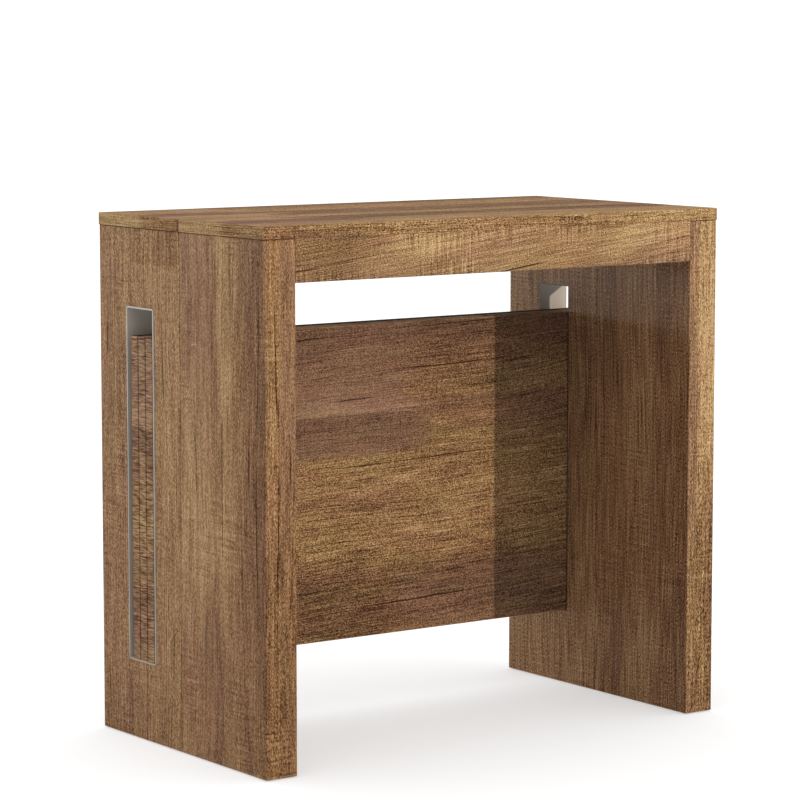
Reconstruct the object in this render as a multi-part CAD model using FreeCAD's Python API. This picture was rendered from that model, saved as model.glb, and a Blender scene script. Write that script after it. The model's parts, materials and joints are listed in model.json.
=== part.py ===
"""Extending console table: two half tables joined by telescopic rails, with loose leaves stored in the legs.

Millimetres, +Z up. The origin is on the floor under the middle of the closed table.
The front of the table faces -Y, and the rear half, which stays put, is on +Y.
Each half is told by a sign, +1 at the rear and -1 at the front, that multiplies distances from the seam.
"""

import FreeCAD, Part
import math
import os

V = FreeCAD.Vector
UP = V(0, 0, 1)
REAR, FRONT = 1, -1
SIDES = {"left": -1, "right": 1}
SAME_PLACE = 0.001

# Overall sizes of the closed table
TABLE_WIDTH = 816.0
TABLE_DEPTH = 442.0
TABLE_HEIGHT = 770.0

# Boards
BOARD = 18.0
LEG_THICKNESS = 51.0
TOP_OVERHANG = 1.5
APRON_HEIGHT = 61.0
EDGE_RADIUS = 1.0
HALF_SEAM = 0.6

# Loose leaves, stored on edge in the rear legs
LEAF_COUNT = 3
LEAF_WIDTH = 476.0
LEAF_SPACING = 2.0
LEAF_SIDE_CLEARANCE = 2.0
LEAF_FITTING_ROOM = 6.0

# Lined slot through each rear leg, about halfway up it
SLOT_SPARE_ROOM = 10.0
SLOT_HEADROOM = 40.0
SLOT_ABOVE_CENTRE = 1.0
SLOT_CENTRE_FROM_BACK = 114.5
LINER_WALL = 1.5
LINER_RIM_WIDTH = 2.5
LINER_RIM_THICKNESS = 1.5
LINER_RIM_CORNER = 5.0
LINER_FIT = 0.15

# Telescopic rails: interlocking members, side by side
RAIL_THICKNESS = 11.0
RAIL_HEIGHT = 38.0
RAIL_SIDE_GAP = 1.0
RAIL_TOP_CLEARANCE = 0.5
RAIL_END_CLEARANCE = 3.0
RAIL_LEAST_OVERLAP = 100.0
RAIL_SET_FROM_LEG = 93.5
RAIL_WALL = 2.0
GROOVE_LIP = 2.5
GROOVE_DEPTH = 4.6
GROOVE_HEIGHT = 18.6
GROOVE_MOUTH = 8.6
SLIDE_CLEARANCE = 0.3

# Nylon slide parts and stop screws in the rails
SHOE_LENGTH = 30.0
SHOE_CLEARANCE = 0.2
WEAR_STRIP_LENGTH = 25.0
WEAR_STRIP_THICKNESS = 1.5
STOP_SCREW_RADIUS = 1.5
STOP_SLACK = 0.2

# Angles that hang the rails from the tops
ANGLE_FLANGE = 25.0
ANGLE_SHEET = 2.5
ANGLE_FROM_SEAM = 12.0
ANGLE_FROM_APRON = 11.0
ANGLE_SCREWS = 3
ANGLE_SCREW_MARGIN = 20.0

# Cleats that hold the tops to the legs and aprons
CLEAT_FLANGE = 25.0
CLEAT_SHEET = 2.0
LEG_CLEAT_MARGIN = 50.0
LEG_CLEAT_SCREW_MARGIN = 24.0
APRON_CLEAT_LENGTH = 30.0
APRON_CLEAT_SPACING = 120.0
APRON_CLEATS = 3

# Screws
SCREW_RADIUS = 2.0
SCREW_TIP_RADIUS = 0.5
SCREW_TIP_LENGTH = 2.0
SCREW_HEAD_RADIUS = 3.8
SCREW_HEAD_HEIGHT = 2.2
SCREW_CROWN_RADIUS = 1.3
SCREW_RECESS_WIDTH = 0.9
SCREW_RECESS_SPAN = 4.4
SCREW_RECESS_DEPTH = 1.2
SCREW_FIT = 0.1
SCREW_HOLE_BOTTOM_GAP = 2.0
WOOD_SCREW_LENGTH = 12.0
RAIL_SCREW_PAST_WALL = 1.5

# Dowels
DOWEL_RADIUS = 4.0
DOWEL_CHAMFER = 1.0
DOWEL_FIT = 0.1
DOWEL_BOTTOM_GAP = 1.0
DOWEL_IN_TOP = 11.0
DOWEL_IN_LEG = 22.0
DOWEL_IN_APRON = 22.0
DOWEL_FROM_LEG_EDGE = 40.0
DOWEL_FROM_APRON_EDGE = 14.5

# Nail-in glides under the legs
GLIDE_RADIUS = 10.0
GLIDE_HEIGHT = 4.0
GLIDE_PROUD = 1.5
GLIDE_EDGE = 1.0
GLIDE_FIT = 0.2
GLIDE_NAIL_RADIUS = 1.25
GLIDE_NAIL_LENGTH = 14.0
GLIDE_NAIL_FIT = 0.1
GLIDE_FROM_LEG_EDGE = 30.0

# Places of the boards
HALF_WIDTH = TABLE_WIDTH / 2
HALF_DEPTH = TABLE_DEPTH / 2
HALF_EDGE = HALF_SEAM / 2
TOP_UNDERSIDE = TABLE_HEIGHT - BOARD
LEG_OUTSIDE = HALF_WIDTH - TOP_OVERHANG
LEG_INSIDE = LEG_OUTSIDE - LEG_THICKNESS
LEG_MIDDLE = (LEG_OUTSIDE + LEG_INSIDE) / 2
APRON_BOTTOM = TOP_UNDERSIDE - APRON_HEIGHT
APRON_INSIDE = HALF_DEPTH - BOARD

# Places of the slots
SLOT_DEPTH = LEAF_SIDE_CLEARANCE + LEAF_COUNT * BOARD + (LEAF_COUNT - 1) * LEAF_SPACING + SLOT_SPARE_ROOM
SLOT_HEIGHT = LEAF_WIDTH + SLOT_HEADROOM
SLOT_FRONT = HALF_DEPTH - SLOT_CENTRE_FROM_BACK - SLOT_DEPTH / 2
SLOT_BACK = SLOT_FRONT + SLOT_DEPTH
SLOT_FLOOR = (TOP_UNDERSIDE - SLOT_HEIGHT) / 2 + SLOT_ABOVE_CENTRE
SLOT_TOP = SLOT_FLOOR + SLOT_HEIGHT

# Places and travel of the rails
RAIL_LENGTH = 2 * APRON_INSIDE - 2 * RAIL_END_CLEARANCE
RAIL_START, RAIL_END = -RAIL_LENGTH / 2, RAIL_LENGTH / 2
RAIL_TOP = TOP_UNDERSIDE - RAIL_TOP_CLEARANCE
RAIL_BOTTOM = RAIL_TOP - RAIL_HEIGHT
RAIL_MIDDLE = (RAIL_TOP + RAIL_BOTTOM) / 2
RAIL_PITCH = RAIL_THICKNESS + RAIL_SIDE_GAP
EXTENSION = LEAF_COUNT * LEAF_WIDTH + LEAF_FITTING_ROOM
RAIL_STAGES = math.ceil(EXTENSION / (RAIL_LENGTH - RAIL_LEAST_OVERLAP))
RAIL_MEMBERS = RAIL_STAGES + 1
STAGE_TRAVEL = EXTENSION / RAIL_STAGES

# Section of a rail member
TONGUE_NECK = GROOVE_MOUTH - 2 * SLIDE_CLEARANCE
TONGUE_HEAD = GROOVE_HEIGHT - 2 * (WEAR_STRIP_THICKNESS + SLIDE_CLEARANCE)
HOLLOW_HEIGHT = (RAIL_HEIGHT - GROOVE_HEIGHT) / 2 - 2 * RAIL_WALL
HOLLOW_OFFSET = (GROOVE_HEIGHT + HOLLOW_HEIGHT) / 2 + RAIL_WALL
RAIL_SCREW_LENGTH = ANGLE_SHEET + RAIL_WALL + RAIL_SCREW_PAST_WALL


def block(x_pair, y_pair, z_pair):
    """A box between two values on each axis, given in either order."""
    low = [min(pair) for pair in (x_pair, y_pair, z_pair)]
    high = [max(pair) for pair in (x_pair, y_pair, z_pair)]
    return Part.makeBox(high[0] - low[0], high[1] - low[1], high[2] - low[2], V(*low))


def board(x_pair, y_pair, z_pair):
    """A box with every edge rounded a little, as edge banding is trimmed."""
    box = block(x_pair, y_pair, z_pair)
    return box.makeFillet(EDGE_RADIUS, box.Edges)


def rounded_block(x_pair, y_pair, z_pair, radius):
    """A box with its four edges along X rounded."""
    box = block(x_pair, y_pair, z_pair)
    along_x = [edge for edge in box.Edges if edge.BoundBox.XLength > SAME_PLACE]
    return box.makeFillet(radius, along_x)


def rod(start, direction, radius, length):
    return Part.makeCylinder(radius, length, start, direction)


def rims_at(shape, centre):
    """The round edges of a shape that are centred on a point."""
    return [edge for edge in shape.Edges if edge.CenterOfMass.distanceToPoint(centre) < SAME_PLACE]


def group(solids):
    return Part.makeCompound(solids)


def mirrored_pair(make):
    """What a function makes for the left and for the right, in one list."""
    return [item for side in SIDES.values() for item in make(side)]


# Fasteners


def screw(seat, direction, length):
    """A pan-head screw whose head sits on seat and whose shank runs along direction."""
    crown = seat - direction * SCREW_HEAD_HEIGHT
    tip_start = seat + direction * (length - SCREW_TIP_LENGTH)
    head = rod(crown, direction, SCREW_HEAD_RADIUS, SCREW_HEAD_HEIGHT)
    head = head.makeFillet(SCREW_CROWN_RADIUS, rims_at(head, crown))
    shank = rod(seat, direction, SCREW_RADIUS, length - SCREW_TIP_LENGTH)
    tip = Part.makeCone(SCREW_RADIUS, SCREW_TIP_RADIUS, SCREW_TIP_LENGTH, tip_start, direction)
    bar = Part.makeBox(SCREW_RECESS_WIDTH, SCREW_RECESS_SPAN, SCREW_RECESS_DEPTH,
                       V(-SCREW_RECESS_WIDTH / 2, -SCREW_RECESS_SPAN / 2, 0))
    cross = bar.fuse(bar.rotated(V(0, 0, 0), UP, 90))
    cross.Placement = FreeCAD.Placement(crown, FreeCAD.Rotation(UP, direction))
    return head.fuse([shank, tip]).removeSplitter().cut(cross)


def screw_hole(seat, direction, length):
    return rod(seat, direction, SCREW_RADIUS + SCREW_FIT, length + SCREW_HOLE_BOTTOM_GAP)


def sheet_hole(seat, direction, sheet):
    """The hole for a screw through a steel sheet that its head sits on."""
    return rod(seat, direction, SCREW_RADIUS + SCREW_FIT, sheet)


def dowel(middle, direction, back, ahead):
    """A dowel that reaches back and ahead of the joint plane at middle."""
    start = middle - direction * back
    end = middle + direction * ahead
    pin = rod(start, direction, DOWEL_RADIUS, back + ahead)
    return pin.makeChamfer(DOWEL_CHAMFER, rims_at(pin, start) + rims_at(pin, end))


def dowel_hole(middle, direction, back, ahead):
    start = middle - direction * (back + DOWEL_BOTTOM_GAP)
    return rod(start, direction, DOWEL_RADIUS + DOWEL_FIT, back + ahead + 2 * DOWEL_BOTTOM_GAP)


def glide(foot):
    """A nylon foot with its nail, standing on the floor at foot."""
    disc = rod(foot, UP, GLIDE_RADIUS, GLIDE_HEIGHT)
    disc = disc.makeFillet(GLIDE_EDGE, rims_at(disc, foot))
    nail = rod(foot + UP * GLIDE_HEIGHT, UP, GLIDE_NAIL_RADIUS, GLIDE_NAIL_LENGTH)
    return disc.fuse(nail).removeSplitter()


def glide_recess(foot):
    seat = rod(foot, UP, GLIDE_RADIUS + GLIDE_FIT, GLIDE_HEIGHT)
    nail_reach = GLIDE_HEIGHT + GLIDE_NAIL_LENGTH + GLIDE_FIT
    return seat.fuse(rod(foot, UP, GLIDE_NAIL_RADIUS + GLIDE_NAIL_FIT, nail_reach))


# Where the fasteners go in one half of the table


def leg_dowels(half):
    """(middle, direction, back, ahead) of the dowels between the legs and the top."""
    places = (HALF_EDGE + DOWEL_FROM_LEG_EDGE, HALF_DEPTH - DOWEL_FROM_LEG_EDGE)
    return mirrored_pair(lambda side: [
        (V(side * LEG_MIDDLE, half * y, TOP_UNDERSIDE), UP, DOWEL_IN_LEG, DOWEL_IN_TOP) for y in places])


def apron_dowels(half):
    """(middle, direction, back, ahead) of the dowels between the apron's ends and the legs."""
    levels = (APRON_BOTTOM + DOWEL_FROM_APRON_EDGE, TOP_UNDERSIDE - DOWEL_FROM_APRON_EDGE)
    y = half * (HALF_DEPTH - BOARD / 2)
    return mirrored_pair(lambda side: [
        (V(side * LEG_INSIDE, y, z), V(side, 0, 0), DOWEL_IN_APRON, DOWEL_IN_LEG) for z in levels])


def dowels(half):
    return leg_dowels(half) + apron_dowels(half)


def glide_feet(half):
    places = (HALF_EDGE + GLIDE_FROM_LEG_EDGE, HALF_DEPTH - GLIDE_FROM_LEG_EDGE)
    return mirrored_pair(lambda side: [V(side * LEG_MIDDLE, half * y, 0) for y in places])


def angle_span(half):
    """Y of the two ends of the angle that carries this half's rail members."""
    return half * ANGLE_FROM_SEAM, half * (APRON_INSIDE - ANGLE_FROM_APRON)


def angle_face(half):
    """Distance from the middle plane of the rail face that carries this half's angle, and its way out."""
    if half == REAR:
        return member_face(1), 1
    return member_face(RAIL_MEMBERS) - RAIL_THICKNESS, -1


def angle_screw_places(half):
    """Y of the screws along an angle."""
    start, end = angle_span(half)
    first = start + half * ANGLE_SCREW_MARGIN
    last = end - half * ANGLE_SCREW_MARGIN
    return [first + (last - first) * k / (ANGLE_SCREWS - 1) for k in range(ANGLE_SCREWS)]


def angle_top_screws(half):
    """(seat, direction) of the screws that hang the angles from the top."""
    face, out = angle_face(half)
    x = face + out * (ANGLE_FLANGE + ANGLE_SHEET) / 2
    return mirrored_pair(lambda side: [
        (V(side * x, y, TOP_UNDERSIDE - ANGLE_SHEET), UP) for y in angle_screw_places(half)])


def angle_rail_screws(half):
    """(seat, direction) of the screws that hold the rails to the angles."""
    face, out = angle_face(half)
    x = face + out * ANGLE_SHEET
    z = RAIL_MIDDLE - HOLLOW_OFFSET
    return mirrored_pair(lambda side: [
        (V(side * x, y, z), V(-side * out, 0, 0)) for y in angle_screw_places(half)])


def leg_cleat_span(half):
    """Y of the two ends of the cleat in a leg's top corner."""
    return half * (HALF_EDGE + LEG_CLEAT_MARGIN), half * (HALF_DEPTH - LEG_CLEAT_MARGIN)


def leg_cleat_screws(half):
    """(seat, direction) of the leg cleats' screws, into the top and into the legs."""
    start, end = leg_cleat_span(half)
    places = (start + half * LEG_CLEAT_SCREW_MARGIN, end - half * LEG_CLEAT_SCREW_MARGIN)
    middle = (CLEAT_FLANGE + CLEAT_SHEET) / 2
    into_top = mirrored_pair(lambda side: [
        (V(side * (LEG_INSIDE - middle), y, TOP_UNDERSIDE - CLEAT_SHEET), UP) for y in places])
    into_leg = mirrored_pair(lambda side: [
        (V(side * (LEG_INSIDE - CLEAT_SHEET), y, TOP_UNDERSIDE - middle), V(side, 0, 0)) for y in places])
    return into_top + into_leg


def apron_cleat_places():
    """X of the cleats along an apron."""
    return [(k - (APRON_CLEATS - 1) / 2) * APRON_CLEAT_SPACING for k in range(APRON_CLEATS)]


def apron_cleat_screws(half):
    """(seat, direction) of the apron cleats' screws, into the top and into the apron."""
    middle = (CLEAT_FLANGE + CLEAT_SHEET) / 2
    into_top = [(V(x, half * (APRON_INSIDE - middle), TOP_UNDERSIDE - CLEAT_SHEET), UP)
                for x in apron_cleat_places()]
    into_apron = [(V(x, half * (APRON_INSIDE - CLEAT_SHEET), TOP_UNDERSIDE - middle), V(0, half, 0))
                  for x in apron_cleat_places()]
    return into_top + into_apron


def cleat_screws(half):
    return leg_cleat_screws(half) + apron_cleat_screws(half)


def wood_screws(half):
    """(seat, direction) of every screw that enters a board of this half."""
    return angle_top_screws(half) + cleat_screws(half)


def fastener_holes(half):
    """The holes that a half's dowels and screws take up in its boards."""
    holes = [dowel_hole(*place) for place in dowels(half)]
    return holes + [screw_hole(*place, WOOD_SCREW_LENGTH) for place in wood_screws(half)]


# Boards


def top(half):
    panel = board((-HALF_WIDTH, HALF_WIDTH), (half * HALF_EDGE, half * HALF_DEPTH),
                  (TOP_UNDERSIDE, TABLE_HEIGHT))
    return panel.cut(group(fastener_holes(half)))


def through_slot(side, grow, x_pair, radius):
    """A block that fills a rear leg's slot and is larger by grow all round."""
    return rounded_block([side * x for x in x_pair], (SLOT_FRONT - grow, SLOT_BACK + grow),
                         (SLOT_FLOOR - grow, SLOT_TOP + grow), radius)


def leg(half, side):
    panel = board((side * LEG_INSIDE, side * LEG_OUTSIDE), (half * HALF_EDGE, half * HALF_DEPTH),
                  (GLIDE_PROUD, TOP_UNDERSIDE))
    cuts = fastener_holes(half) + [glide_recess(foot) for foot in glide_feet(half)]
    if half == REAR:
        grow = LINER_WALL + LINER_FIT
        cuts.append(through_slot(side, grow, (LEG_INSIDE, LEG_OUTSIDE), EDGE_RADIUS + grow))
    return panel.cut(group(cuts))


def apron(half):
    panel = board((-LEG_INSIDE, LEG_INSIDE), (half * APRON_INSIDE, half * HALF_DEPTH),
                  (APRON_BOTTOM, TOP_UNDERSIDE))
    return panel.cut(group(fastener_holes(half)))


def leaf(number):
    """A stored leaf, standing on edge in the slots. Number 1 is the foremost."""
    front = SLOT_FRONT + LEAF_SIDE_CLEARANCE + (number - 1) * (BOARD + LEAF_SPACING)
    return board((-HALF_WIDTH, HALF_WIDTH), (front, front + BOARD), (SLOT_FLOOR, SLOT_FLOOR + LEAF_WIDTH))


def slot_liner(side):
    """A sleeve through a rear leg with a thin rim on its outer face."""
    rim_face = LEG_OUTSIDE + LINER_RIM_THICKNESS
    sleeve = through_slot(side, LINER_WALL, (LEG_INSIDE, rim_face), EDGE_RADIUS + LINER_WALL)
    rim = through_slot(side, LINER_RIM_WIDTH, (LEG_OUTSIDE, rim_face), LINER_RIM_CORNER)
    inside = through_slot(side, 0, (LEG_INSIDE, rim_face), EDGE_RADIUS)
    return sleeve.fuse(rim).cut(inside).removeSplitter()


# Rails: each member has a tongue that slides in the groove of the member outside it


def member_face(number):
    """Distance from the middle plane of a rail member's outer face. Member 1 is on the rear half."""
    return LEG_INSIDE - RAIL_SET_FROM_LEG - (number - 1) * RAIL_PITCH


def groove_span(number):
    """Distances from the middle plane of the two sides of a member's groove, behind its lips."""
    near = member_face(number) - RAIL_THICKNESS + GROOVE_LIP
    return near, near + GROOVE_DEPTH


def tongue_span(number):
    """Distances from the middle plane of the two sides of a member's tongue head."""
    near, far = groove_span(number - 1)
    return near + SLIDE_CLEARANCE, far - SLIDE_CLEARANCE


def rail_bar(side, x_pair, height, start=RAIL_START, end=RAIL_END, level=RAIL_MIDDLE):
    """A bar along the rails: x_pair is measured from the middle plane, and height is centred on level."""
    return block([side * x for x in x_pair], (start, end), (level - height / 2, level + height / 2))


def tongue(number, side):
    """A member's T-shaped tongue, whose head stops short of the slide shoe."""
    near, far = tongue_span(number)
    neck = rail_bar(side, (member_face(number), near), TONGUE_NECK)
    head = rail_bar(side, (near, far), TONGUE_HEAD, end=RAIL_END - SHOE_LENGTH)
    return [neck, head]


def groove(number, side):
    """What is cut from a member's inner face for the next member's tongue, and for its stop screw."""
    near, far = groove_span(number)
    mouth = rail_bar(side, (near - GROOVE_LIP, near), GROOVE_MOUTH)
    chamber = rail_bar(side, (near, far), GROOVE_HEIGHT)
    return [mouth, chamber, stop_screw(number, side, STOP_SCREW_RADIUS + SCREW_FIT)]


def rail_member(number, side):
    """An extruded bar with two hollows, a groove in its inner face and a tongue on its outer face."""
    face = member_face(number)
    back = face - RAIL_THICKNESS
    member = rail_bar(side, (back, face), RAIL_HEIGHT)
    levels = (RAIL_MIDDLE - HOLLOW_OFFSET, RAIL_MIDDLE + HOLLOW_OFFSET)
    cuts = [rail_bar(side, (back + RAIL_WALL, face - RAIL_WALL), HOLLOW_HEIGHT, level=z) for z in levels]
    if number > 1:
        member = member.fuse(tongue(number, side)).removeSplitter()
    if number < RAIL_MEMBERS:
        cuts += groove(number, side)
    fixed_to = {1: REAR, RAIL_MEMBERS: FRONT}
    if number in fixed_to:
        cuts += [screw_hole(*place, RAIL_SCREW_LENGTH) for place in angle_rail_screws(fixed_to[number])]
    return member.cut(group(cuts))


def slide_shoe(number, side):
    """The nylon block at the rear end of a member's tongue, which fills the groove and meets the stop."""
    height = GROOVE_HEIGHT - 2 * SHOE_CLEARANCE
    return rail_bar(side, tongue_span(number), height, start=RAIL_END - SHOE_LENGTH)


def wear_strips(number, side):
    """Nylon strips above and below the next member's tongue, at the front end of a member's groove."""
    offset = (GROOVE_HEIGHT - WEAR_STRIP_THICKNESS) / 2
    end = RAIL_START + WEAR_STRIP_LENGTH
    return [rail_bar(side, groove_span(number), WEAR_STRIP_THICKNESS, end=end, level=RAIL_MIDDLE + shift)
            for shift in (-offset, offset)]


def stop_screw(number, side, radius):
    """A headless screw down into a member's groove, where the next member's shoe meets it."""
    near, far = groove_span(number)
    shoe_front_when_out = RAIL_END - SHOE_LENGTH - STAGE_TRAVEL
    y = shoe_front_when_out - STOP_SLACK - STOP_SCREW_RADIUS
    low = RAIL_MIDDLE + GROOVE_HEIGHT / 2 - WEAR_STRIP_THICKNESS
    return rod(V(side * (near + far) / 2, y, low), UP, radius, RAIL_TOP - low)


# Angles and cleats


def mounting_angle(half, side):
    """The angle that hangs this half's rail member from its top."""
    face, out = angle_face(half)
    span = angle_span(half)
    upright = block((side * face, side * (face + out * ANGLE_SHEET)), span, (RAIL_BOTTOM, TOP_UNDERSIDE))
    flange = block((side * face, side * (face + out * ANGLE_FLANGE)), span,
                   (TOP_UNDERSIDE - ANGLE_SHEET, TOP_UNDERSIDE))
    screws = angle_top_screws(half) + angle_rail_screws(half)
    holes = [sheet_hole(*place, ANGLE_SHEET) for place in screws]
    return upright.fuse(flange).removeSplitter().cut(group(holes))


def leg_cleat(half, side):
    span = leg_cleat_span(half)
    upright = block((side * LEG_INSIDE, side * (LEG_INSIDE - CLEAT_SHEET)), span,
                    (TOP_UNDERSIDE - CLEAT_FLANGE, TOP_UNDERSIDE))
    flange = block((side * LEG_INSIDE, side * (LEG_INSIDE - CLEAT_FLANGE)), span,
                   (TOP_UNDERSIDE - CLEAT_SHEET, TOP_UNDERSIDE))
    return upright.fuse(flange).removeSplitter()


def apron_cleat(half, x):
    span = (x - APRON_CLEAT_LENGTH / 2, x + APRON_CLEAT_LENGTH / 2)
    upright = block(span, (half * APRON_INSIDE, half * (APRON_INSIDE - CLEAT_SHEET)),
                    (TOP_UNDERSIDE - CLEAT_FLANGE, TOP_UNDERSIDE))
    flange = block(span, (half * APRON_INSIDE, half * (APRON_INSIDE - CLEAT_FLANGE)),
                   (TOP_UNDERSIDE - CLEAT_SHEET, TOP_UNDERSIDE))
    return upright.fuse(flange).removeSplitter()


def cleats(half):
    """The steel angles that hold the top to the legs and to the apron."""
    angles = [leg_cleat(half, side) for side in SIDES.values()]
    angles += [apron_cleat(half, x) for x in apron_cleat_places()]
    holes = group([sheet_hole(*place, CLEAT_SHEET) for place in cleat_screws(half)])
    return group([angle.cut(holes) for angle in angles])


# The whole table


def half_table(name, half):
    """Every piece of one half of the table, apart from its rail members."""
    pieces = {
        f"{name}_top": top(half),
        f"{name}_apron": apron(half),
        f"{name}_cleats": cleats(half),
        f"{name}_wood_screws": group([screw(*place, WOOD_SCREW_LENGTH) for place in wood_screws(half)]),
        f"{name}_rail_screws": group([screw(*place, RAIL_SCREW_LENGTH) for place in angle_rail_screws(half)]),
        f"{name}_dowels": group([dowel(*place) for place in dowels(half)]),
        f"{name}_glides": group([glide(foot) for foot in glide_feet(half)]),
    }
    for side_name, side in SIDES.items():
        pieces[f"{name}_leg_{side_name}"] = leg(half, side)
        pieces[f"{name}_mounting_angle_{side_name}"] = mounting_angle(half, side)
    return pieces


def rails():
    """The rail members of both sides, with the small pieces in them."""
    pieces = {}
    sides = SIDES.values()
    for number in range(1, RAIL_MEMBERS + 1):
        for side_name, side in SIDES.items():
            pieces[f"rail_{number}_{side_name}"] = rail_member(number, side)
        if number > 1:
            pieces[f"slide_shoes_{number}"] = group([slide_shoe(number, side) for side in sides])
        if number < RAIL_MEMBERS:
            strips = mirrored_pair(lambda side: wear_strips(number, side))
            pieces[f"wear_strips_{number}"] = group(strips)
            stops = [stop_screw(number, side, STOP_SCREW_RADIUS) for side in sides]
            pieces[f"stop_screws_{number}"] = group(stops)
    return pieces


def main():
    pieces = {**half_table("rear", REAR), **half_table("front", FRONT), **rails()}
    for side_name, side in SIDES.items():
        pieces[f"slot_liner_{side_name}"] = slot_liner(side)
    for number in range(1, LEAF_COUNT + 1):
        pieces[f"leaf_{number}"] = leaf(number)
    os.makedirs("parts", exist_ok=True)
    for name, shape in pieces.items():
        shape.exportStep(f"parts/{name}.step")
    print(f"{len(pieces)} nodes, {RAIL_MEMBERS} members a rail of {RAIL_LENGTH:.1f} mm")
    print(f"extension {EXTENSION:.1f} mm, {STAGE_TRAVEL:.1f} mm a stage")


main()
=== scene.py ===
"""Looks of the extending console table: rustic wood boards, lined slots, rails and fittings.

Metres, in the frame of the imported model. The camera stands where the photograph was taken from.
"""

import json
import math
from collections import namedtuple

import bpy
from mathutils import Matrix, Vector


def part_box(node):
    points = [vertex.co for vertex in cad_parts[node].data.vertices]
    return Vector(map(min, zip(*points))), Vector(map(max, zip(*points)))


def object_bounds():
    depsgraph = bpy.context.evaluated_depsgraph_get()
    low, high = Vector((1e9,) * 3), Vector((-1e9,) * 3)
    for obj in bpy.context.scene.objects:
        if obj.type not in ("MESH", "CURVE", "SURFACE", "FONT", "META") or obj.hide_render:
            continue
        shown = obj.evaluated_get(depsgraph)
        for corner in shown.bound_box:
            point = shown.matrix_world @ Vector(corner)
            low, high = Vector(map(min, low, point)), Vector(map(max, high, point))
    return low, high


WHITE = (1.0, 1.0, 1.0, 1.0)

# Camera, fitted to the corners of the table in the photograph, with its turn and drop in degrees
CAMERA_PLACE = (-2.8095, -3.8941, 1.0358)
CAMERA_TURN = 35.605
CAMERA_DROP = 6.538
CAMERA_LENS = 145.27
CAMERA_SENSOR = 36.0

# White surroundings, as (height of a direction, brightness)
SURROUND_STOPS = [
    (-1.0, 0.0), (-0.03, 0.0), (-0.02, 1.0), (0.02, 1.0), (0.04, 0.05), (0.17, 0.05), (0.42, 1.0),
]
SURROUND_STRENGTH = 1.32

# A low warm key light from the front right, and a faint low light from the back left
KEY_TURN = -26.0
KEY_DROP = 15.0
KEY_STRENGTH = 2.35
KEY_SPREAD = 0.7
KEY_COLOUR = (1.0, 0.92, 0.78)
BACK_TURN = 144.4
BACK_DROP = 2.4
BACK_STRENGTH = 0.28
BACK_SPREAD = 5.0
BACK_COLOUR = (1.0, 1.0, 1.0)

# Floor, pale and faintly glowing
FLOOR_SIZE = 400.0
FLOOR_COLOUR = (0.60, 0.60, 0.60, 1.0)
FLOOR_ROUGHNESS = 0.9
FLOOR_GLOSS = 0.1
FLOOR_GLOW = 0.45

# Wood colours from the darkest cracks to the lightest fibres, in golden and in russet staves
GOLDEN_TONES = [
    (0.00, (0.026, 0.0114, 0.0051, 1.0)),
    (0.25, (0.085, 0.0410, 0.0187, 1.0)),
    (0.50, (0.185, 0.0985, 0.0450, 1.0)),
    (0.75, (0.300, 0.1820, 0.0860, 1.0)),
    (1.00, (0.440, 0.3100, 0.1620, 1.0)),
]
RUSSET_TONES = [
    (0.00, (0.025, 0.0118, 0.0072, 1.0)),
    (0.25, (0.080, 0.0410, 0.0255, 1.0)),
    (0.50, (0.165, 0.0905, 0.0578, 1.0)),
    (0.75, (0.260, 0.1515, 0.0978, 1.0)),
    (1.00, (0.370, 0.2290, 0.1490, 1.0)),
]

# Layers of the wood's figure, as repeats in a metre along the fibres and across them
SWAY_REPEATS = (5.0, 12.0)
BEND_REPEATS = (1.7, 5.0)
WAVER_REPEATS = (16.0, 30.0)
CLOUD_REPEATS = (5.0, 17.0)
STREAK_REPEATS = (6.0, 80.0)
DRIFT_REPEATS = (6.0, 28.0)
PATCH_REPEATS = (7.0, 11.0)
SAW_REPEATS = (380.0, 14.0)
FIBRES_ALONG = 13.0
SPECKS_ACROSS = 720.0
STREAK_DETAIL_SHARE = 0.6

# Specks along the board for each fibre across it, and how far bends and wavers push the fibres aside
SPECKS_PER_FIBRE = 0.75
BEND_REACH = 0.045
WAVER_REACH = 0.003

# How much the layers change the tone and the share of russet
CLOUD_TONE = 0.26
STREAK_TONE = 0.33
FIBRE_TONE = 0.85
SPECK_TONE = 1.7
GRAIN_IN_GOLDEN = 1.1
GRAIN_LOST_IN_RUSSET = 0.4
CLOUD_RUSSET = 0.8
STREAK_RUSSET = 0.3
NEUTRAL_HUE = 0.5

# How much the layers change the relief and the roughness
GRAIN_RELIEF = 0.5
SAW_RELIEF = 0.4
CRACK_RELIEF = 3.0
WOOD_RELIEF_DEPTH = 0.0002
WOOD_RELIEF_STRENGTH = 0.2
SPECK_ROUGHNESS = 0.08
CRACK_ROUGHNESS = 0.5

# Cracks, as (distance between their lanes, width, breaks in a metre, darkness)
LONG_CRACKS = (0.046, 0.0016, 4.0, 0.45)
SHORT_CRACKS = (0.013, 0.0014, 18.0, 0.3)
CRACK_CORE = 0.3
CRACK_OPENING = (0.0, 0.12)
LANE_MARGIN = 0.15

# Values of the patch layer between which saw marks, and short cracks, fade in
SAWN_PATCHES = (-0.04, 0.12)
CRACKED_PATCHES = (0.0, -0.12)

# Steps that give a layer, a lane and a crack their own part of the noise
DRIFT_SEED_STEP = 7.0
SHORT_CRACK_SEED_STEP = 0.5
LANE_NOISE_STEP = 3.7
CRACK_NOISE_STEP = 40.0

# Width of the band in which a face turns to its edge, and how much calmer the edge's patches are
EDGE_BAND = 0.0008
EDGE_CALM = 0.35

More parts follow.
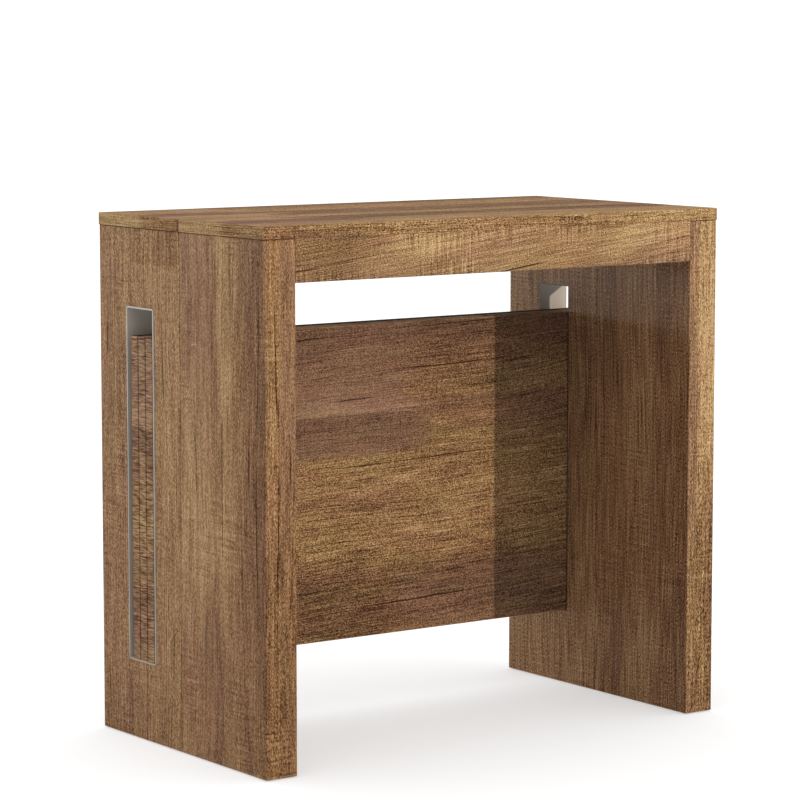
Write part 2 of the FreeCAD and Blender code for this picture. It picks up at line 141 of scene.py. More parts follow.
# Staves of the boards, as (place across the board, lightness, share of russet)
TOP_LEFT = [
    (-0.221, 0.60, 0.4), (-0.150, 0.66, 0.3), (-0.149, 0.46, 1.0), (-0.085, 0.52, 1.0), (-0.084, 0.68, 0.3),
    (-0.001, 0.64, 0.4), (0.001, 0.72, 0.4), (0.060, 0.68, 0.3), (0.061, 0.48, 0.8), (0.120, 0.54, 0.6),
    (0.121, 0.70, 0.3), (0.205, 0.64, 0.3), (0.221, 0.46, 0.5),
]
TOP_RIGHT = [
    (-0.221, 0.66, 0.0), (-0.120, 0.64, 0.0), (-0.119, 0.44, 0.5), (-0.050, 0.42, 0.6), (-0.049, 0.64, 0.0),
    (-0.001, 0.58, 0.0), (0.001, 0.42, 0.6), (0.090, 0.50, 0.4), (0.091, 0.64, 0.0), (0.180, 0.56, 0.2),
    (0.221, 0.38, 0.5),
]
TOP_EDGE_LEFT = [(0.752, 0.42, 0.4), (0.770, 0.46, 0.2)]
TOP_EDGE_MIDDLE = [(0.752, 0.55, 0.0), (0.770, 0.56, 0.1)]
TOP_EDGE_RIGHT = [(0.752, 0.62, 0.0), (0.770, 0.64, 0.1)]
TOP_END = [
    (-0.221, 0.58, 0.2), (-0.125, 0.60, 0.2), (-0.105, 0.72, 0.2), (-0.0022, 0.77, 0.2),
    (-0.0012, 0.15, 0.3), (0.0012, 0.15, 0.3), (0.0022, 0.54, 0.2), (0.090, 0.53, 0.1),
    (0.115, 0.75, 0.1), (0.221, 0.78, 0.2),
]
APRON_LEFT = [(0.691, 0.42, 0.3), (0.715, 0.39, 0.4), (0.740, 0.45, 0.1), (0.752, 0.40, 0.4)]
APRON_MIDDLE = [(0.691, 0.55, 0.4), (0.705, 0.61, 0.2), (0.735, 0.68, 0.1), (0.752, 0.62, 0.1)]
APRON_DIM = [(0.691, 0.54, 0.4), (0.705, 0.58, 0.2), (0.735, 0.57, 0.1), (0.752, 0.53, 0.1)]
APRON_RIGHT = [(0.691, 0.53, 0.4), (0.705, 0.62, 0.2), (0.735, 0.75, 0.1), (0.752, 0.71, 0.0)]
LEAF_LEFT = [
    (0.119, 0.35, 0.3), (0.150, 0.31, 0.4), (0.200, 0.34, 0.3), (0.240, 0.47, 0.0), (0.300, 0.50, 0.1),
    (0.335, 0.47, 0.2), (0.345, 0.55, 0.1), (0.390, 0.53, 0.1), (0.405, 0.43, 0.9), (0.4600, 0.37, 1.0),
    (0.4603, 0.14, 0.8), (0.4612, 0.60, 1.0), (0.490, 0.55, 1.0), (0.520, 0.48, 0.8), (0.560, 0.43, 0.8),
    (0.595, 0.40, 0.9),
]
LEAF_RIGHT = [
    (0.119, 0.40, 0.6), (0.150, 0.38, 0.6), (0.190, 0.36, 0.7), (0.220, 0.39, 0.4), (0.260, 0.49, 0.0),
    (0.320, 0.52, 0.0), (0.370, 0.49, 0.0), (0.410, 0.48, 0.2), (0.440, 0.44, 0.4), (0.473, 0.40, 0.6),
    (0.480, 0.46, 0.3), (0.510, 0.48, 0.2), (0.540, 0.40, 0.4), (0.565, 0.37, 0.6), (0.595, 0.34, 0.9),
]
LEAF_END = [
    (0.119, 0.57, 0.5), (0.200, 0.57, 0.5), (0.330, 0.63, 0.2), (0.400, 0.59, 0.5), (0.4600, 0.50, 0.7),
    (0.4612, 0.72, 0.7), (0.520, 0.68, 0.6), (0.595, 0.62, 0.7),
]
# Top edges of the leaves: the front two painted lighter than their faces against the shade under the tops,
# the rear one painted dark as shade
LEAF_SIDES_PAINTED_LIGHT_AND_SHADE = [(0.0735, 0.80, 0.7), (0.1125, 0.80, 0.7), (0.1135, 0.06, 0.3), (0.1315, 0.06, 0.3)]
LEG_END = [(-0.221, 0.12, 0.3), (0.221, 0.12, 0.3)]
LEFT_FRONT_LEG_LOW = [
    (-0.221, 0.45, 0.4), (-0.200, 0.50, 0.4), (-0.185, 0.54, 0.4), (-0.165, 0.54, 0.3), (-0.150, 0.61, 0.3),
    (-0.125, 0.60, 0.3), (-0.105, 0.53, 0.4), (-0.085, 0.58, 0.4), (-0.063, 0.58, 0.4), (-0.045, 0.65, 0.3),
    (0.0, 0.65, 0.3),
]
LEFT_FRONT_LEG_MIDDLE = [
    (-0.221, 0.47, 0.4), (-0.200, 0.45, 0.4), (-0.180, 0.49, 0.4), (-0.165, 0.54, 0.3), (-0.150, 0.62, 0.2),
    (-0.128, 0.66, 0.2), (-0.108, 0.72, 0.1), (-0.096, 0.62, 0.3), (-0.087, 0.62, 0.3), (-0.075, 0.73, 0.2),
    (-0.040, 0.75, 0.2), (-0.002, 0.73, 0.2), (0.0, 0.60, 0.2),
]
LEFT_FRONT_LEG_HIGH = [
    (-0.221, 0.60, 0.4), (-0.214, 0.51, 0.4), (-0.190, 0.49, 0.4), (-0.173, 0.52, 0.4), (-0.155, 0.58, 0.3),
    (-0.145, 0.62, 0.2), (-0.132, 0.67, 0.1), (-0.118, 0.78, 0.1), (-0.104, 0.78, 0.1), (-0.098, 0.62, 0.3),
    (-0.090, 0.58, 0.5), (-0.045, 0.65, 0.5), (-0.0022, 0.65, 0.4), (-0.0014, 0.30, 0.2), (0.0, 0.30, 0.2),
]
RIGHT_FRONT_LEG_LOW = [
    (-0.221, 0.43, 0.1), (-0.150, 0.45, 0.2), (-0.130, 0.52, 0.1), (-0.080, 0.53, 0.0), (-0.060, 0.48, 0.2),
    (-0.0022, 0.51, 0.1), (-0.0014, 0.30, 0.2), (0.0, 0.30, 0.2),
]
RIGHT_FRONT_LEG_HIGH = [
    (-0.221, 0.46, 0.1), (-0.150, 0.50, 0.2), (-0.130, 0.61, 0.1), (-0.080, 0.62, 0.0), (-0.060, 0.56, 0.2),
    (-0.0022, 0.60, 0.1), (-0.0014, 0.30, 0.2), (0.0, 0.30, 0.2),
]
LEFT_LEG_FRONT_LOW = [
    (-0.4065, 0.37, 0.2), (-0.398, 0.41, 0.0), (-0.384, 0.40, 0.1), (-0.380, 0.37, 0.2),
    (-0.3555, 0.40, 0.2),
]
LEFT_LEG_FRONT_HIGH = [
    (-0.4065, 0.46, 0.4), (-0.398, 0.53, 0.1), (-0.384, 0.53, 0.1), (-0.380, 0.48, 0.5),
    (-0.3555, 0.54, 0.5),
]
RIGHT_LEG_FRONT_LOW = [
    (0.3555, 0.48, 0.3), (0.370, 0.44, 0.2), (0.383, 0.43, 0.0), (0.395, 0.38, 0.1), (0.4065, 0.32, 0.1),
]
RIGHT_LEG_FRONT_HIGH = [(0.3555, 0.53, 0.5), (0.372, 0.57, 0.4), (0.376, 0.70, 0.0), (0.4065, 0.76, 0.0)]
LEFT_REAR_LEG_LOW = [
    (0.0, 0.60, 0.2), (0.035, 0.60, 0.2), (0.060, 0.58, 0.3), (0.153, 0.57, 0.4), (0.221, 0.57, 0.5),
]
LEFT_REAR_LEG_MIDDLE = [
    (0.0, 0.70, 0.1), (0.035, 0.70, 0.1), (0.036, 0.69, 0.2), (0.075, 0.68, 0.2), (0.153, 0.67, 0.3),
    (0.154, 0.50, 0.3), (0.155, 0.63, 0.3), (0.190, 0.62, 0.4), (0.200, 0.64, 0.4), (0.221, 0.70, 0.4),
]
RIGHT_REAR_LEG_LOW = [(0.0, 0.58, 0.1), (0.120, 0.59, 0.2), (0.221, 0.62, 0.1)]
REAR_LEG_HIGH = [
    (0.0, 0.58, 0.0), (0.035, 0.58, 0.0), (0.036, 0.59, 0.1), (0.131, 0.59, 0.1), (0.132, 0.42, 0.2),
    (0.133, 0.67, 0.1), (0.221, 0.65, 0.2),
]
REAR_LEG_BACK = [(-0.4065, 0.54, 0.1), (0.4065, 0.56, 0.2)]

# Changes of staves that boards share, as (start, end) along the board
LEFT_CHANGE = (-0.28, -0.16)
LEG_CHANGE = (0.15, 0.55)
REAR_LEG_JOINT = (0.6995, 0.7005)

# Faces, as their first staves and then each change along the board: (its start, its end, the next staves)
TOP_FACE = (TOP_LEFT, (*LEFT_CHANGE, TOP_RIGHT))
TOP_EDGE = (TOP_EDGE_LEFT, (*LEFT_CHANGE, TOP_EDGE_MIDDLE), (0.12, 0.24, TOP_EDGE_RIGHT))
APRON_FACE = (
    APRON_LEFT, (*LEFT_CHANGE, APRON_MIDDLE), (0.04, 0.10, APRON_DIM), (0.19, 0.26, APRON_RIGHT),
)
LEAF_FACE = (LEAF_LEFT, (-0.02, 0.10, LEAF_RIGHT))
# The leaves' top edges, with painted light and shade
LEAF_EDGE = (LEAF_SIDES_PAINTED_LIGHT_AND_SHADE,)
LEFT_FRONT_LEG_FACE = (
    LEFT_FRONT_LEG_LOW, (0.13, 0.28, LEFT_FRONT_LEG_MIDDLE), (0.42, 0.68, LEFT_FRONT_LEG_HIGH),
)
LEFT_FRONT_LEG_EDGE = (LEFT_LEG_FRONT_LOW, (*LEG_CHANGE, LEFT_LEG_FRONT_HIGH))
RIGHT_FRONT_LEG_FACE = (RIGHT_FRONT_LEG_LOW, (*LEG_CHANGE, RIGHT_FRONT_LEG_HIGH))
RIGHT_FRONT_LEG_EDGE = (RIGHT_LEG_FRONT_LOW, (*LEG_CHANGE, RIGHT_LEG_FRONT_HIGH))
LEFT_REAR_LEG_FACE = (
    LEFT_REAR_LEG_LOW, (0.03, 0.14, LEFT_REAR_LEG_MIDDLE), (*REAR_LEG_JOINT, REAR_LEG_HIGH),
)
RIGHT_REAR_LEG_FACE = (RIGHT_REAR_LEG_LOW, (*REAR_LEG_JOINT, REAR_LEG_HIGH))
REAR_LEG_EDGE = (REAR_LEG_BACK,)

# Seeds of the boards' figures, and the looks that wood() takes for each kind of board
LEAF_SEED = 3.0
TOP_SEEDS = {"front": 11.0, "rear": 17.0}
APRON_SEEDS = {"front": 23.0, "rear": 29.0}
LEAF_LOOKS = {
    "lean": -0.05, "depth_share": 0.1, "patchy": 0.9, "ticks": 0.3, "hue_drift": 0.045, "gloss": 0.05,
}
TOP_LOOKS = {"hue_drift": 0.04, "roughness": 0.4, "gloss": 0.004}
APRON_LOOKS = {"lean": -0.1, "fine": 0.88, "patchy": 0.7, "ticks": 1.1, "hue_drift": 0.045}
LEG_LOOKS = {"thin": 400.0, "patchy": 0.8}
LEFT_LEG_LOOKS = {"redden": 0.003, "gloss": 0.03}
# The right legs are reddened more than the left: a painted warm light, bounced from the wood onto their
# inner faces
RIGHT_LEG_LOOKS = {"redden": 0.007, "gloss": 0.13}
LEAF_EDGE_DULLNESS = 0.5
LEG_END_DULLNESS = 0.7

# Legs, as (face, edge, seed, looks)
LEGS = {
    "front_leg_left": (
        LEFT_FRONT_LEG_FACE, LEFT_FRONT_LEG_EDGE, 31.0, {"fine": 0.74, **LEFT_LEG_LOOKS},
    ),
    "rear_leg_left": (
        LEFT_REAR_LEG_FACE, REAR_LEG_EDGE, 41.0, {"fine": 0.82, "wander": 0.0, **LEFT_LEG_LOOKS},
    ),
    "front_leg_right": (
        RIGHT_FRONT_LEG_FACE, RIGHT_FRONT_LEG_EDGE, 37.0, {"fine": 0.96, **RIGHT_LEG_LOOKS},
    ),
    "rear_leg_right": (
        RIGHT_REAR_LEG_FACE, REAR_LEG_EDGE, 47.0, {"fine": 1.04, "wander": 0.0, **RIGHT_LEG_LOOKS},
    ),
}

# Slot sleeves: dark and light grey, their rim, and painted shade on their inner end, dark as the shadowed
# gap beside the leaves
LINER_GREYS = ((0.36, 0.322, 0.282, 1.0), (0.42, 0.375, 0.325, 1.0))
LINER_RIM = (0.44, 0.405, 0.355, 1.0)
LINER_END_PAINTED_SHADE = (0.035, 0.022, 0.014, 1.0)
LINER_RIM_DEPTH = 0.0016
LINER_RIM_FADE = 0.0002
LINER_END_PAINTED_SHADE_FADE = 0.0003
LINER_RIM_METAL = 0.3
LINER_ROUGHNESS = 0.38
LINER_RIM_POLISH = 0.04
LINER_SPECK_ROUGHNESS = 0.08
LINER_RELIEF = 0.15
LINER_SPECKS = 900.0
LINER_CLOUDS = 20.0
LINER_CLOUDS_UP = 6.0

# Rails: dark and light aluminium, with die lines along Y
RAIL_GREYS = ((0.62, 0.63, 0.64, 1.0), (0.72, 0.73, 0.73, 1.0))
RAIL_METAL = 0.4
RAIL_ROUGHNESS = 0.42
RAIL_LINE_ROUGHNESS = 0.2
RAIL_RELIEF = 0.2
RAIL_LINES = 1800.0
RAIL_LINES_ALONG = 6.0
RAIL_HAZE = 14.0
RAIL_HAZE_ALONG = 9.0

# Small fittings: dark and light colours, roughness, and repeats of their texture in a metre
ANGLE_GREYS = ((0.46, 0.47, 0.49, 1.0), (0.60, 0.61, 0.63, 1.0))
ANGLE_ROUGHNESS = 0.38
SCREW_GREYS = ((0.55, 0.54, 0.50, 1.0), (0.70, 0.69, 0.64, 1.0))
SCREW_ROUGHNESS = 0.28
STEEL_METAL = 0.6
STEEL_MOTTLE_ROUGHNESS = 0.15
STEEL_RELIEF = 0.1
STEEL_MOTTLES = 160.0
SLIDE_WHITES = ((0.70, 0.69, 0.63, 1.0), (0.80, 0.79, 0.73, 1.0))
GLIDE_BROWNS = ((0.07, 0.045, 0.03, 1.0), (0.10, 0.065, 0.04, 1.0))
NYLON_ROUGHNESS = 0.48
NYLON_GRAIN_ROUGHNESS = 0.15
NYLON_RELIEF = 0.2
NYLON_GRAINS = 1200.0
NYLON_CLOUDS = 45.0
BEECH_TONES = ((0.42, 0.26, 0.13, 1.0), (0.56, 0.38, 0.21, 1.0))
BEECH_ROUGHNESS = 0.6
BEECH_FLECK_ROUGHNESS = 0.1
BEECH_FLECKS = 300.0

# All fittings: depth of their relief, strength of fine detail, and reach of the noise between two colours
FITTING_RELIEF_DEPTH = 0.0001
MOTTLE_DETAIL_SHARE = 0.7
CLOUD_REACH = 0.3
MOTTLE_REACH = 0.25
FLECK_REACH = 0.2

# Long edges of a board, past a reach from its middle, and its end faces, where fibres may be turned across
Edge = namedtuple("Edge", "middle reach face dullness", defaults=(0.0,))
Ends = namedtuple("Ends", "reach staves turned dullness", defaults=(False, 0.0))


class Flow:
    """A number that changes over a surface. Arithmetic on it adds Math nodes to its finish."""

    def __init__(self, finish, socket):
        self.finish = finish
        self.socket = socket

    def math(self, operation, first, second=0.0):
        return self.finish.node("Math", {"operation": operation}, {0: first, 1: second})

    def __add__(self, other):
        return self.math("ADD", self, other)

    __radd__ = __add__

    def __sub__(self, other):
        return self.math("SUBTRACT", self, other)

    def __rsub__(self, other):
        return self.math("SUBTRACT", other, self)

    def __mul__(self, other):
        return self.math("MULTIPLY", self, other)

    __rmul__ = __mul__

    def __abs__(self):
        return self.math("ABSOLUTE", self)

    def __floor__(self):
        return self.math("FLOOR", self)

    def above(self, low, high):
        """Rises smoothly from 0 at low to 1 at high."""
        settings = {"interpolation_type": "SMOOTHSTEP"}
        return self.finish.node("MapRange", settings, {"Value": self, "From Min": low, "From Max": high})

    def toward(self, other, share):
        """This number where share is 0, and the other where it is 1."""
        return self + (other - self) * share


class Finish:
    """A material or world under construction, with its shader."""

    def __init__(self, owner, shader="Principled BSDF"):
        owner.use_nodes = True
        self.owner = owner
        self.tree = owner.node_tree
        self.shader = self.tree.nodes[shader]

    def feed(self, socket, value):
        """Links a changing number to a socket, or sets a fixed value on it."""
        if isinstance(value, Flow):
            self.tree.links.new(value.socket, socket)
        else:
            socket.default_value = value

    def node(self, kind, settings=None, sockets=None, output=0):
        """Adds a node, makes its settings, fills its sockets and gives one of its outputs."""
        node = self.tree.nodes.new("ShaderNode" + kind)
        for name, value in (settings or {}).items():
            if name == "stops":
                set_stops(node.color_ramp, value)
            else:
                setattr(node, name, value)
        for name, value in (sockets or {}).items():
            self.feed(node.inputs[name], value)
        return Flow(self, node.outputs[output])

    def axes(self):
        """X, Y and Z of a place on the piece."""
        place = self.node("TexCoord", output="Object")
        return {axis: self.node("SeparateXYZ", None, {0: place}, axis) for axis in "XYZ"}

    def noise(self, x, y, z, detail=1.0, roughness=0.5):
        """Smooth noise about one unit wide, centred on zero."""
        place = self.node("CombineXYZ", None, {0: x, 1: y, 2: z})
        sockets = {"Vector": place, "Scale": 1.0, "Detail": detail, "Roughness": roughness}
        return self.node("TexNoise", None, sockets) - 0.5

    def figure(self, place, repeats, seed, detail=1.0, roughness=0.5):
        """Noise drawn out along the fibres, at a place along, across and through a board."""
        u, v, w = place
        along, across = repeats
        return self.noise(u * along + seed, v * across, w * across, detail, roughness)

    def specks(self, repeats, detail=1.0, roughness=0.5):
        """Noise alike in all directions."""
        x, y, z = self.axes().values()
        return self.noise(x * repeats, y * repeats, z * repeats, detail, roughness)

    def between(self, noise, reach, colours):
        """Two colours, mixed by a noise that gets this far from zero."""
        return self.mix(noise.above(-reach, reach), *colours)

    def chance(self, number):
        """A random share that belongs to a whole number."""
        return self.node("TexWhiteNoise", {"noise_dimensions": "1D"}, {"W": number})

    def mix(self, share, first, second):
        """The first colour where share is 0, and the second where it is 1."""
        return self.node("Mix", {"data_type": "RGBA"}, {0: share, 6: first, 7: second}, 2)

    def bump(self, height, depth, strength):
        return self.node("Bump", None, {"Height": height, "Distance": depth, "Strength": strength})

    def coat(self, **sockets):
        """Fills the shader's own sockets: a name's underscores stand for spaces."""
        for name, value in sockets.items():
            self.feed(self.shader.inputs[name.replace("_", " ")], value)
        return self.owner


def set_stops(ramp, stops):
    """Gives a colour ramp its stops, two of which are there from the start."""
    for place, _ in stops[2:]:
        ramp.elements.new(place)
    for element, (place, colour) in zip(ramp.elements, stops):
        element.position = place
        element.color = colour


def staves(finish, place, stops):
    """Lightness and russet share across a board, from its staves."""
    low, high = stops[0][0], stops[-1][0]
    ramp = [((at - low) / (high - low), (light, russet, 0.0, 1.0)) for at, light, russet in stops]
    share = (place - low) * (1.0 / (high - low))
    colour = finish.node("ValToRGB", {"stops": ramp}, {0: share})
    return [finish.node("SeparateColor", None, {0: colour}, channel) for channel in ("Red", "Green")]


def blend(first, second, share):
    """Two looks, as pairs of lightness and russet share, with the second where share is 1."""
    return [one.toward(other, share) for one, other in zip(first, second)]


def changing_staves(finish, across, along, face):
    """Staves across a face that change along it: the first ones, and then each change in turn."""
    look = staves(finish, across, face[0])
    for start, end, stops in face[1:]:
        look = blend(look, staves(finish, across, stops), along.above(start, end))
    return look


def cracks(finish, along, across, kind, seed):
    """Thin dark lines along the fibres, one in each lane across the board, broken where chance has it."""
    spacing, width, breaks, darkness = kind
    lane = across * (1.0 / spacing) + seed
    number = math.floor(lane)
    luck = finish.chance(number)
    gap = abs(lane - number - LANE_MARGIN - luck * (1.0 - 2 * LANE_MARGIN)) * spacing
    run = along * breaks + luck * CRACK_NOISE_STEP
    reach = finish.noise(run, number * LANE_NOISE_STEP, seed, detail=2.0)
    return (1.0 - gap.above(width * CRACK_CORE, width)) * reach.above(*CRACK_OPENING) * darkness


def wood(name, axes, seed, face, edge=None, ends=None, wander=0.2, lean=0.0, depth_share=1.0, thin=560.0,
         fine=1.0, patchy=1.0, ticks=0.5, hue_drift=0.025, redden=0.0, roughness=0.25, gloss=0.15):
    """A board of rustic wood: axes names those along its fibres, across its staves and through it.

    face gives the staves of the broad faces, whose changes along the board come and go by wander.
    edge and ends give the looks of its long edges and end faces, where these differ.
    lean is the slope of the fibres, and depth_share how fast the figure changes through the board.
    thin is the number of fibres side by side in a metre.
    fine, patchy and ticks say how much the fibres and specks, the patches and the saw marks show.
    hue_drift is how far the hue strays from place to place, and redden turns the broad faces redder.
    """
    finish = Finish(bpy.data.materials.new(name))
    places = finish.axes()
    u, v, w = [places[axis] for axis in axes]
    swayed = u + finish.figure((u, v, w), SWAY_REPEATS, seed) * wander
    look = changing_staves(finish, v, swayed, face)
    hue = NEUTRAL_HUE - redden
    if edge:
        on_edge = abs(v - edge.middle).above(edge.reach - EDGE_BAND, edge.reach - EDGE_BAND / 2)
        look = blend(look, changing_staves(finish, w, swayed, edge.face), on_edge)
        roughness = roughness + on_edge * edge.dullness
        patchy = patchy - on_edge * EDGE_CALM
        hue = hue + on_edge * redden
    if ends:
        on_end = abs(u).above(ends.reach - EDGE_BAND, ends.reach - EDGE_BAND / 2)
        look = blend(look, staves(finish, v, ends.staves), on_end)
        roughness = roughness + on_end * ends.dullness
        if ends.turned:
            u, v = u.toward(v, on_end), v.toward(w, on_end)
    tone, russet = look

    w = w * depth_share
    board = (u, v, w)
    bend = finish.figure(board, BEND_REPEATS, seed) * BEND_REACH
    waver = finish.figure(board, WAVER_REPEATS, seed) * WAVER_REACH
    patch = finish.figure(board, PATCH_REPEATS, seed)
    saw = finish.figure(board, SAW_REPEATS, seed) * patch.above(*SAWN_PATCHES)

    fibre_v = v + u * lean + bend + waver
    fibres = (u, fibre_v, w)
    cloud = finish.figure(fibres, CLOUD_REPEATS, seed, detail=2.0)
    streak = finish.figure(fibres, STREAK_REPEATS, seed, detail=2.0, roughness=STREAK_DETAIL_SHARE)
    drift = finish.figure(fibres, DRIFT_REPEATS, seed + DRIFT_SEED_STEP, detail=2.0)
    fibre = finish.figure(fibres, (FIBRES_ALONG, thin), seed)
    speckle = finish.figure(fibres, (thin * SPECKS_PER_FIBRE, SPECKS_ACROSS), seed)
    long_cracks = cracks(finish, u, fibre_v + w, LONG_CRACKS, seed)
    short_cracks = cracks(finish, u, fibre_v + w, SHORT_CRACKS, seed + SHORT_CRACK_SEED_STEP)
    dark = long_cracks + short_cracks * patch.above(*CRACKED_PATCHES)

    patches = (cloud * CLOUD_TONE + streak * STREAK_TONE) * patchy
    grain = (fibre * FIBRE_TONE + speckle * SPECK_TONE) * (GRAIN_IN_GOLDEN - russet * GRAIN_LOST_IN_RUSSET)
    tone = tone + patches + grain * fine + saw * ticks - dark
    golden = finish.node("ValToRGB", {"stops": GOLDEN_TONES}, {0: tone})
    reddish = finish.node("ValToRGB", {"stops": RUSSET_TONES}, {0: tone})
    shade = (russet - cloud * CLOUD_RUSSET - streak * STREAK_RUSSET).above(0.0, 1.0)
    mixed = finish.mix(shade, golden, reddish)
    height = (fibre + speckle) * GRAIN_RELIEF + saw * SAW_RELIEF - dark * CRACK_RELIEF
    return finish.coat(
        Base_Color=finish.node("HueSaturation", None, {"Hue": drift * hue_drift + hue, "Color": mixed}),
        Roughness=roughness + speckle * SPECK_ROUGHNESS + dark * CRACK_ROUGHNESS,
        Specular_IOR_Level=gloss,
        Normal=finish.bump(height, WOOD_RELIEF_DEPTH, WOOD_RELIEF_STRENGTH),
    )


def liner_finish(name, inner_place, rim_place):
    """Satin grey sleeve with a silver rim on its outer end and painted shade on its inner end, dark as the
    shadowed gap beside the leaves.
    """
    finish = Finish(bpy.data.materials.new(name))
    x, y, z = finish.axes().values()
    on_rim = abs(x).above(rim_place - LINER_RIM_FADE, rim_place)
    # Painted shade along the sleeve's inner end
    on_painted_shade = 1.0 - abs(x).above(inner_place, inner_place + LINER_END_PAINTED_SHADE_FADE)
    speck = finish.specks(LINER_SPECKS)
    cloud = finish.noise(x * LINER_CLOUDS, y * LINER_CLOUDS, z * LINER_CLOUDS_UP, detail=2.0)
    colour = finish.mix(on_rim, finish.between(cloud, CLOUD_REACH, LINER_GREYS), LINER_RIM)
    return finish.coat(
        Base_Color=finish.mix(on_painted_shade, colour, LINER_END_PAINTED_SHADE),
        Metallic=on_rim * LINER_RIM_METAL,
        Roughness=LINER_ROUGHNESS + speck * LINER_SPECK_ROUGHNESS - on_rim * LINER_RIM_POLISH,
        Normal=finish.bump(speck, FITTING_RELIEF_DEPTH, LINER_RELIEF),
    )


def rail_finish(name):
    """Extruded, clear anodised aluminium with die lines along the rails."""
    finish = Finish(bpy.data.materials.new(name))
    x, y, z = finish.axes().values()
    lines = finish.noise(x * RAIL_LINES, y * RAIL_LINES_ALONG, z * RAIL_LINES, detail=2.0)
    haze = finish.noise(x * RAIL_HAZE, y * RAIL_HAZE_ALONG, z * RAIL_HAZE, detail=2.0)
    return finish.coat(
        Base_Color=finish.between(haze, CLOUD_REACH, RAIL_GREYS),
        Metallic=RAIL_METAL,
        Roughness=RAIL_ROUGHNESS + lines * RAIL_LINE_ROUGHNESS,
        Normal=finish.bump(lines, FITTING_RELIEF_DEPTH, RAIL_RELIEF),
    )


def steel_finish(name, greys, roughness):
    """Zinc plated steel, faintly mottled."""
    finish = Finish(bpy.data.materials.new(name))
    mottle = finish.specks(STEEL_MOTTLES, detail=3.0, roughness=MOTTLE_DETAIL_SHARE)
    return finish.coat(
        Base_Color=finish.between(mottle, MOTTLE_REACH, greys),
        Metallic=STEEL_METAL,
        Roughness=roughness + mottle * STEEL_MOTTLE_ROUGHNESS,
        Normal=finish.bump(mottle, FITTING_RELIEF_DEPTH, STEEL_RELIEF),
    )


def nylon_finish(name, colours):
    """Moulded nylon with a fine matt grain."""
    finish = Finish(bpy.data.materials.new(name))
    grain = finish.specks(NYLON_GRAINS, detail=2.0)
    cloud = finish.specks(NYLON_CLOUDS, detail=2.0)
    return finish.coat(
        Base_Color=finish.between(cloud, CLOUD_REACH, colours),
        Roughness=NYLON_ROUGHNESS + grain * NYLON_GRAIN_ROUGHNESS,
        Normal=finish.bump(grain, FITTING_RELIEF_DEPTH, NYLON_RELIEF),
    )


def beech_finish(name):
    """Bare beech with short flecks."""
    finish = Finish(bpy.data.materials.new(name))
    fleck = finish.specks(BEECH_FLECKS, detail=3.0, roughness=MOTTLE_DETAIL_SHARE)
    return finish.coat(
        Base_Color=finish.between(fleck, FLECK_REACH, BEECH_TONES),
        Roughness=BEECH_ROUGHNESS + fleck * BEECH_FLECK_ROUGHNESS,
    )


def aim(turn, drop):
    """Turns a camera or lamp to look to the right of straight ahead, and down, by these degrees."""
    return (math.radians(90.0 - drop), 0.0, math.radians(-turn))


def set_camera():
    camera = bpy.data.objects.new("camera", bpy.data.cameras.new("camera"))
    camera.data.lens = CAMERA_LENS
    camera.data.sensor_width = CAMERA_SENSOR
    camera.location = CAMERA_PLACE
    camera.rotation_euler = aim(CAMERA_TURN, CAMERA_DROP)
    bpy.context.scene.collection.objects.link(camera)
    bpy.context.scene.camera = camera


def set_surroundings():
    """White above and round the horizon, with a dim band between and nothing below."""
    surroundings = Finish(bpy.data.worlds.new("surroundings"), "Background")
    direction = surroundings.node("TexCoord", output="Generated")
    height = surroundings.node("SeparateXYZ", None, {0: direction}, "Z")
    stops = [(0.5 + at / 2, (light, light, light, 1.0)) for at, light in SURROUND_STOPS]
    colour = surroundings.node("ValToRGB", {"stops": stops}, {0: height * 0.5 + 0.5})
    bpy.context.scene.world = surroundings.coat(Color=colour, Strength=SURROUND_STRENGTH)
    bpy.context.scene.view_settings.view_transform = "Standard"


def set_floor():
    bpy.ops.object.select_all(action="DESELECT")
    bpy.ops.mesh.primitive_plane_add(size=FLOOR_SIZE)
    floor = bpy.context.object
    floor.name = "floor"
    finish = Finish(bpy.data.materials.new("floor"))
    floor.data.materials.append(finish.coat(
        Base_Color=FLOOR_COLOUR,
        Roughness=FLOOR_ROUGHNESS,
        Specular_IOR_Level=FLOOR_GLOSS,
        Emission_Color=WHITE,
        Emission_Strength=FLOOR_GLOW,
    ))
    floor.visible_glossy = False
    return floor


def set_lights(floor):
    """Two low suns for the table alone, so that they throw no hard shadow on the floor."""
    unlit = bpy.data.collections.new("not_lit_by_suns")
    unlit.objects.link(floor)
    suns = {
        "key_light": (KEY_TURN, KEY_DROP, KEY_STRENGTH, KEY_SPREAD, KEY_COLOUR, False),
        "back_light": (BACK_TURN, BACK_DROP, BACK_STRENGTH, BACK_SPREAD, BACK_COLOUR, True),
    }
    for name, (turn, drop, strength, spread, colour, seen_in_gloss) in suns.items():
        lamp = bpy.data.lights.new(name, "SUN")
        lamp.energy = strength
        lamp.color = colour
        lamp.angle = math.radians(spread)
        holder = bpy.data.objects.new(name, lamp)
        holder.rotation_euler = aim(turn, drop)
        holder.visible_glossy = seen_in_gloss
        bpy.context.scene.collection.objects.link(holder)
        holder.light_linking.receiver_collection = unlit
    unlit.collection_objects[0].light_linking.link_state = "EXCLUDE"


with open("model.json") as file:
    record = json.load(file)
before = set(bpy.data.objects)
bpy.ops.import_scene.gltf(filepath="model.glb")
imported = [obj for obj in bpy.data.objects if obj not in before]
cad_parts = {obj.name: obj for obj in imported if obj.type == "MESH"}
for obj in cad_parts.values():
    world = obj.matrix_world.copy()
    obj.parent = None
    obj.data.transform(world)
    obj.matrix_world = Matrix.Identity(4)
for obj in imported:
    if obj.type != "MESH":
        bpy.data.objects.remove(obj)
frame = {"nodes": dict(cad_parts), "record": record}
cad_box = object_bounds()
half_width = cad_box[1].x
half_depth = cad_box[1].y
leg_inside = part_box("rear_leg_right")[0].x
leg_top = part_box("rear_leg_right")[1].z
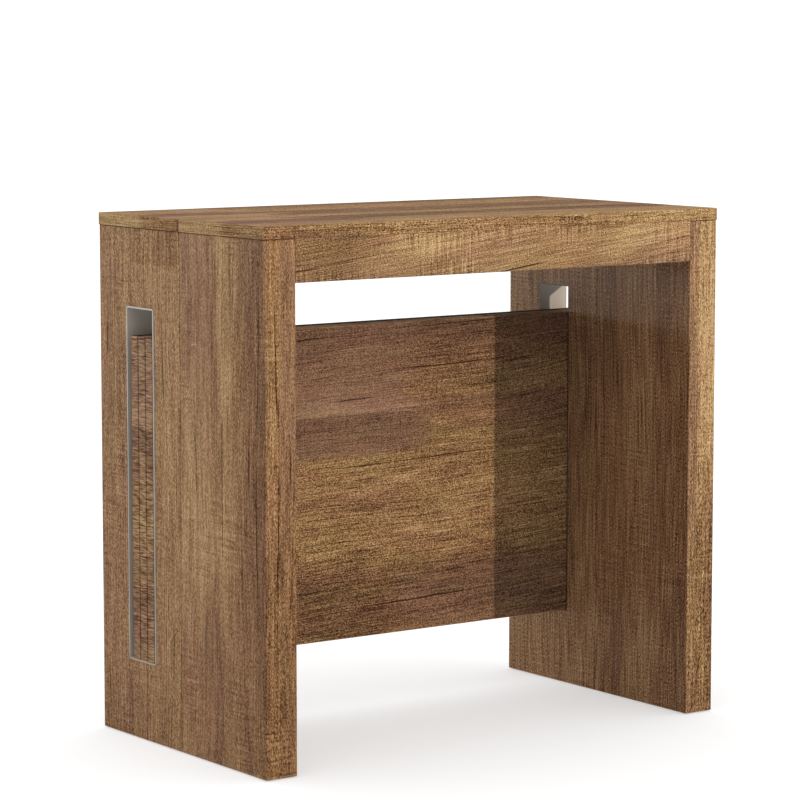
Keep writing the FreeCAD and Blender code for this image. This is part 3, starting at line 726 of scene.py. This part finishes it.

# Leaves, all of one wood, with painted light and shade on their top edges
leaf_low, leaf_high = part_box("leaf_1")
leaf_middle = (leaf_low.z + leaf_high.z) / 2
leaf_edge_painted_light_and_shade = Edge(leaf_middle, leaf_high.z - leaf_middle, LEAF_EDGE, LEAF_EDGE_DULLNESS)
leaf_ends = Ends(half_width, LEAF_END)
leaf_wood = wood("leaf_wood", "XZY", LEAF_SEED, LEAF_FACE, leaf_edge_painted_light_and_shade, leaf_ends, **LEAF_LOOKS)
boards = {"leaf_1": leaf_wood, "leaf_2": leaf_wood, "leaf_3": leaf_wood}

# Tops and aprons of the two halves
top_edge = Edge(0.0, half_depth, TOP_EDGE)
top_ends = Ends(half_width, TOP_END, turned=True)
for half in ("front", "rear"):
    top = half + "_top"
    boards[top] = wood(top + "_wood", "XYZ", TOP_SEEDS[half], TOP_FACE, top_edge, top_ends, **TOP_LOOKS)
    apron = half + "_apron"
    boards[apron] = wood(apron + "_wood", "XZY", APRON_SEEDS[half], APRON_FACE, **APRON_LOOKS)

# Legs, with a dark joint line under the tops
leg_ends = Ends(leg_top - EDGE_BAND / 2, LEG_END, dullness=LEG_END_DULLNESS)
for leg, (leg_face, edge_face, leg_seed, looks) in LEGS.items():
    leg_edge = Edge(0.0, half_depth, edge_face)
    boards[leg] = wood(leg + "_wood", "ZYX", leg_seed, leg_face, leg_edge, leg_ends, **LEG_LOOKS, **looks)

# Sleeves, rails and small fittings
fittings = {
    "rail_aluminium": rail_finish("rail_aluminium"),
    "angle_steel": steel_finish("angle_steel", ANGLE_GREYS, ANGLE_ROUGHNESS),
    "screw_steel": steel_finish("screw_steel", SCREW_GREYS, SCREW_ROUGHNESS),
    "slide_nylon": nylon_finish("slide_nylon", SLIDE_WHITES),
    "glide_plastic": nylon_finish("glide_plastic", GLIDE_BROWNS),
    "liner": liner_finish("liner", leg_inside, half_width - LINER_RIM_DEPTH),
    "dowel_beech": beech_finish("dowel_beech"),
}

for part in frame["record"]["subparts"]:
    node = frame["nodes"][part["node"]]
    material = boards.get(part["node"]) or fittings[part["material_slot"]]
    node.data.materials.clear()
    node.data.materials.append(material)

set_camera()
set_surroundings()
set_lights(set_floor())
